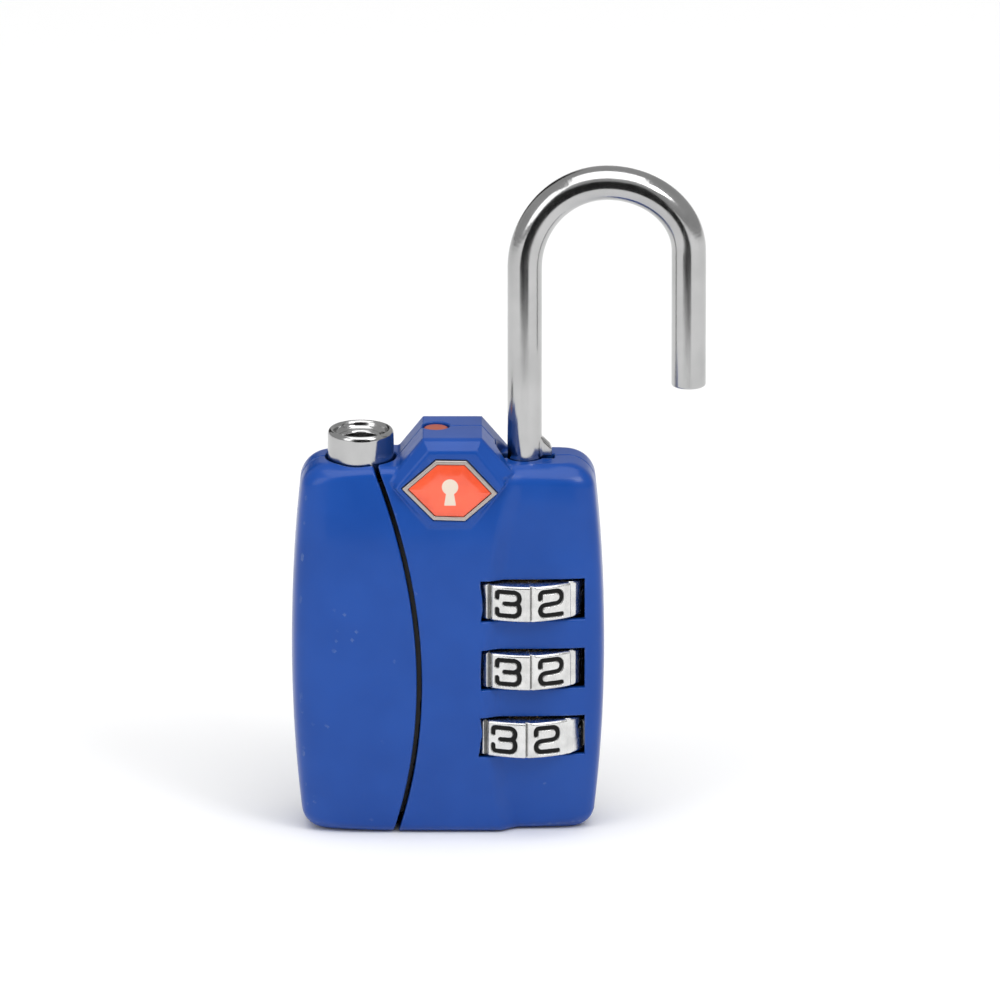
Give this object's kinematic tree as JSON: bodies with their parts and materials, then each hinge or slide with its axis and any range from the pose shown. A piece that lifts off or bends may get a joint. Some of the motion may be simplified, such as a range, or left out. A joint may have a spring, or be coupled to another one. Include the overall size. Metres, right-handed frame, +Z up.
{
  "type": "combination padlock",
  "caption": "Small luggage padlock with number wheels, a push button release, a swinging bent-bar shackle and an inspection key lock.",
  "frame": {"origin": "middle of the housing's flat base, on the base plane", "axes": "+X towards the shackle's guided leg and open toe, -Y out of the front with the emblem, +Z up along the shackle's legs"},
  "size_m": [0.0397, 0.0138, 0.0656],
  "materials": {
    "blue_paint": "gloss",
    "chrome": "polished",
    "dial_chrome": "satin",
    "emblem_rim": "satin",
    "emblem_enamel": "gloss",
    "alert_orange": "satin",
    "steel": "satin",
    "spring_steel": "satin",
    "brass": "satin"
  },
  "bodies": {
    "housing": {"front_cover": "blue_paint", "left_panel": "blue_paint", "rear_cover": "blue_paint", "emblem_plate": "emblem_rim", "emblem_inlay": "emblem_enamel", "spindle_tube": "steel", "spacer_low": "brass", "spacer_high": "brass", "detent_leaf": "spring_steel", "button_bush": "brass", "lock_shell": "steel", "cover_screw_1": "steel", "cover_screw_2": "steel", "cover_screw_3": "steel", "cover_screw_4": "steel"},
    "shackle_carrier": {"spring_cap": "steel", "heel_spring": "spring_steel"},
    "shackle_bar": {"shackle": "chrome", "heel_retainer": "steel"},
    "button": {"button_cup": "chrome", "button_stem": "steel", "button_spring": "spring_steel"},
    "latch": {"latch_bar": "steel", "latch_spring": "spring_steel"},
    "dial_top_wheel": {"number_wheel_top": "dial_chrome", "clutch_sleeve_top": "brass"},
    "dial_middle_wheel": {"number_wheel_middle": "dial_chrome", "clutch_sleeve_middle": "brass"},
    "dial_bottom_wheel": {"number_wheel_bottom": "dial_chrome", "clutch_sleeve_bottom": "brass"},
    "key_core": {"key_plug": "brass", "wafer_1": "brass", "wafer_2": "brass", "wafer_3": "brass", "wafer_4": "brass", "key_cam": "steel", "cam_screw": "steel"},
    "alert": {"alert_pin": "alert_orange", "alert_spring": "spring_steel"}
  },
  "joints": [
    {"name": "shackle_slide", "type": "slide", "parent": "housing", "child": "shackle_carrier", "axis": [0, 0, 1], "range_m": [-0.0073, 0], "stiffness_N_per_m": 300, "springref_m": 0.004, "deforming": ["heel_spring"]},
    {"name": "shackle_swing", "type": "hinge", "parent": "shackle_carrier", "child": "shackle_bar", "pos_m": [0.00735, 0, 0.03675], "axis": [0, 0, 1], "range_deg": [-180, 180]},
    {"name": "push_button", "type": "slide", "parent": "housing", "child": "button", "axis": [0, 0, -1], "range_m": [0, 0.0015], "stiffness_N_per_m": 600, "springref_m": -0.001, "deforming": ["button_spring"]},
    {"name": "latch_slide", "type": "slide", "parent": "housing", "child": "latch", "axis": [1, 0, 0], "range_m": [0, 0.00111]},
    {"name": "dial_top", "type": "hinge", "parent": "housing", "child": "dial_top_wheel", "pos_m": [0.00735, 0, 0.02385], "axis": [0, 0, 1], "continuous": true},
    {"name": "dial_middle", "type": "hinge", "parent": "housing", "child": "dial_middle_wheel", "pos_m": [0.00735, 0, 0.017], "axis": [0, 0, 1], "continuous": true},
    {"name": "dial_bottom", "type": "hinge", "parent": "housing", "child": "dial_bottom_wheel", "pos_m": [0.00735, 0, 0.0102], "axis": [0, 0, 1], "continuous": true},
    {"name": "key_turn", "type": "hinge", "parent": "housing", "child": "key_core", "pos_m": [-0.007, 0, 0], "axis": [0, 0, 1], "range_deg": [0, 90]},
    {"name": "alert_rise", "type": "slide", "parent": "housing", "child": "alert", "axis": [0, 0, 1], "range_m": [0, 0.0009], "deforming": ["alert_spring"]}
  ],
  "couplings": [
    {"joint": "latch_slide", "follows": "push_button", "ratio": 0.73333}
  ]
}
